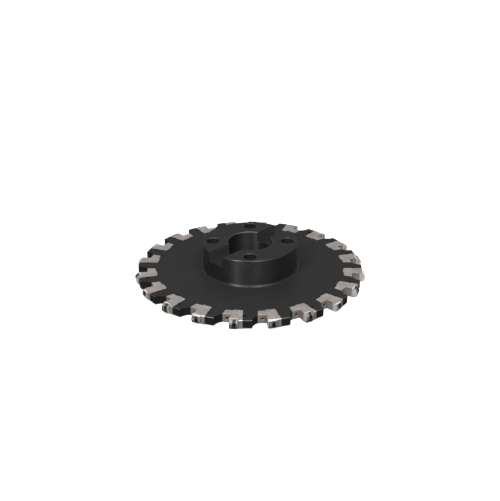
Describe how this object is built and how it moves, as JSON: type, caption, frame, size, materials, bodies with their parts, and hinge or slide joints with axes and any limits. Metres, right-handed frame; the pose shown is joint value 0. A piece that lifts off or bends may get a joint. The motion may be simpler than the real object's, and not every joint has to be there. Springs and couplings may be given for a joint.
{
  "type": "disc milling cutter with hub",
  "caption": "Disc-shaped face and side milling cutter with a raised hub, wedge-clamped adjustable cassettes and on-edge carbide inserts.",
  "frame": {"origin": "on the cutter's axis, in the plane of the lower cutting edges, which is the lowest plane of the part", "axes": "+Z along the cutter's axis from the lower cutting edges up to the hub's face, which bears on the spindle; +X along the drive slot; +Y completes a right-handed frame"},
  "size_m": [0.3174, 0.3174, 0.05],
  "materials": {
    "body_steel": "black oxide on turned and milled tool steel",
    "nickel_steel": "satin nickel-plated, ground tool steel",
    "wedge_screw_steel": "satin nickel-plated screw steel",
    "setting_screw_steel": "black oxide screw steel",
    "coated_carbide": "dark grey coated carbide with ground edges; its screw is black oxide steel"
  },
  "bodies": {
    "cutter": {"cutter_body": "body_steel", "clamping_wedges": "nickel_steel", "wedge_screws": "wedge_screw_steel", "setting_screws": "setting_screw_steel"},
    "upper_tooth_01": {"upper_cassette_01": "nickel_steel", "upper_insert_01": "coated_carbide"},
    "lower_tooth_02": {"lower_cassette_02": "nickel_steel", "lower_insert_02": "coated_carbide"},
    "upper_tooth_03": {"upper_cassette_03": "nickel_steel", "upper_insert_03": "coated_carbide"},
    "lower_tooth_04": {"lower_cassette_04": "nickel_steel", "lower_insert_04": "coated_carbide"},
    "upper_tooth_05": {"upper_cassette_05": "nickel_steel", "upper_insert_05": "coated_carbide"},
    "lower_tooth_06": {"lower_cassette_06": "nickel_steel", "lower_insert_06": "coated_carbide"},
    "upper_tooth_07": {"upper_cassette_07": "nickel_steel", "upper_insert_07": "coated_carbide"},
    "lower_tooth_08": {"lower_cassette_08": "nickel_steel", "lower_insert_08": "coated_carbide"},
    "upper_tooth_09": {"upper_cassette_09": "nickel_steel", "upper_insert_09": "coated_carbide"},
    "lower_tooth_10": {"lower_cassette_10": "nickel_steel", "lower_insert_10": "coated_carbide"},
    "upper_tooth_11": {"upper_cassette_11": "nickel_steel", "upper_insert_11": "coated_carbide"},
    "lower_tooth_12": {"lower_cassette_12": "nickel_steel", "lower_insert_12": "coated_carbide"},
    "upper_tooth_13": {"upper_cassette_13": "nickel_steel", "upper_insert_13": "coated_carbide"},
    "lower_tooth_14": {"lower_cassette_14": "nickel_steel", "lower_insert_14": "coated_carbide"},
    "upper_tooth_15": {"upper_cassette_15": "nickel_steel", "upper_insert_15": "coated_carbide"},
    "lower_tooth_16": {"lower_cassette_16": "nickel_steel", "lower_insert_16": "coated_carbide"},
    "upper_tooth_17": {"upper_cassette_17": "nickel_steel", "upper_insert_17": "coated_carbide"},
    "lower_tooth_18": {"lower_cassette_18": "nickel_steel", "lower_insert_18": "coated_carbide"},
    "upper_tooth_19": {"upper_cassette_19": "nickel_steel", "upper_insert_19": "coated_carbide"},
    "lower_tooth_20": {"lower_cassette_20": "nickel_steel", "lower_insert_20": "coated_carbide"}
  },
  "joints": [
    {"name": "upper_setting_01", "type": "slide", "parent": "cutter", "child": "upper_tooth_01", "axis": [0, 0, 1], "range_m": [0, 0.001]},
    {"name": "lower_setting_02", "type": "slide", "parent": "cutter", "child": "lower_tooth_02", "axis": [0, 0, -1], "range_m": [0, 0.001]},
    {"name": "upper_setting_03", "type": "slide", "parent": "cutter", "child": "upper_tooth_03", "axis": [0, 0, 1], "range_m": [0, 0.001]},
    {"name": "lower_setting_04", "type": "slide", "parent": "cutter", "child": "lower_tooth_04", "axis": [0, 0, -1], "range_m": [0, 0.001]},
    {"name": "upper_setting_05", "type": "slide", "parent": "cutter", "child": "upper_tooth_05", "axis": [0, 0, 1], "range_m": [0, 0.001]},
    {"name": "lower_setting_06", "type": "slide", "parent": "cutter", "child": "lower_tooth_06", "axis": [0, 0, -1], "range_m": [0, 0.001]},
    {"name": "upper_setting_07", "type": "slide", "parent": "cutter", "child": "upper_tooth_07", "axis": [0, 0, 1], "range_m": [0, 0.001]},
    {"name": "lower_setting_08", "type": "slide", "parent": "cutter", "child": "lower_tooth_08", "axis": [0, 0, -1], "range_m": [0, 0.001]},
    {"name": "upper_setting_09", "type": "slide", "parent": "cutter", "child": "upper_tooth_09", "axis": [0, 0, 1], "range_m": [0, 0.001]},
    {"name": "lower_setting_10", "type": "slide", "parent": "cutter", "child": "lower_tooth_10", "axis": [0, 0, -1], "range_m": [0, 0.001]},
    {"name": "upper_setting_11", "type": "slide", "parent": "cutter", "child": "upper_tooth_11", "axis": [0, 0, 1], "range_m": [0, 0.001]},
    {"name": "lower_setting_12", "type": "slide", "parent": "cutter", "child": "lower_tooth_12", "axis": [0, 0, -1], "range_m": [0, 0.001]},
    {"name": "upper_setting_13", "type": "slide", "parent": "cutter", "child": "upper_tooth_13", "axis": [0, 0, 1], "range_m": [0, 0.001]},
    {"name": "lower_setting_14", "type": "slide", "parent": "cutter", "child": "lower_tooth_14", "axis": [0, 0, -1], "range_m": [0, 0.001]},
    {"name": "upper_setting_15", "type": "slide", "parent": "cutter", "child": "upper_tooth_15", "axis": [0, 0, 1], "range_m": [0, 0.001]},
    {"name": "lower_setting_16", "type": "slide", "parent": "cutter", "child": "lower_tooth_16", "axis": [0, 0, -1], "range_m": [0, 0.001]},
    {"name": "upper_setting_17", "type": "slide", "parent": "cutter", "child": "upper_tooth_17", "axis": [0, 0, 1], "range_m": [0, 0.001]},
    {"name": "lower_setting_18", "type": "slide", "parent": "cutter", "child": "lower_tooth_18", "axis": [0, 0, -1], "range_m": [0, 0.001]},
    {"name": "upper_setting_19", "type": "slide", "parent": "cutter", "child": "upper_tooth_19", "axis": [0, 0, 1], "range_m": [0, 0.001]},
    {"name": "lower_setting_20", "type": "slide", "parent": "cutter", "child": "lower_tooth_20", "axis": [0, 0, -1], "range_m": [0, 0.001]}
  ]
}
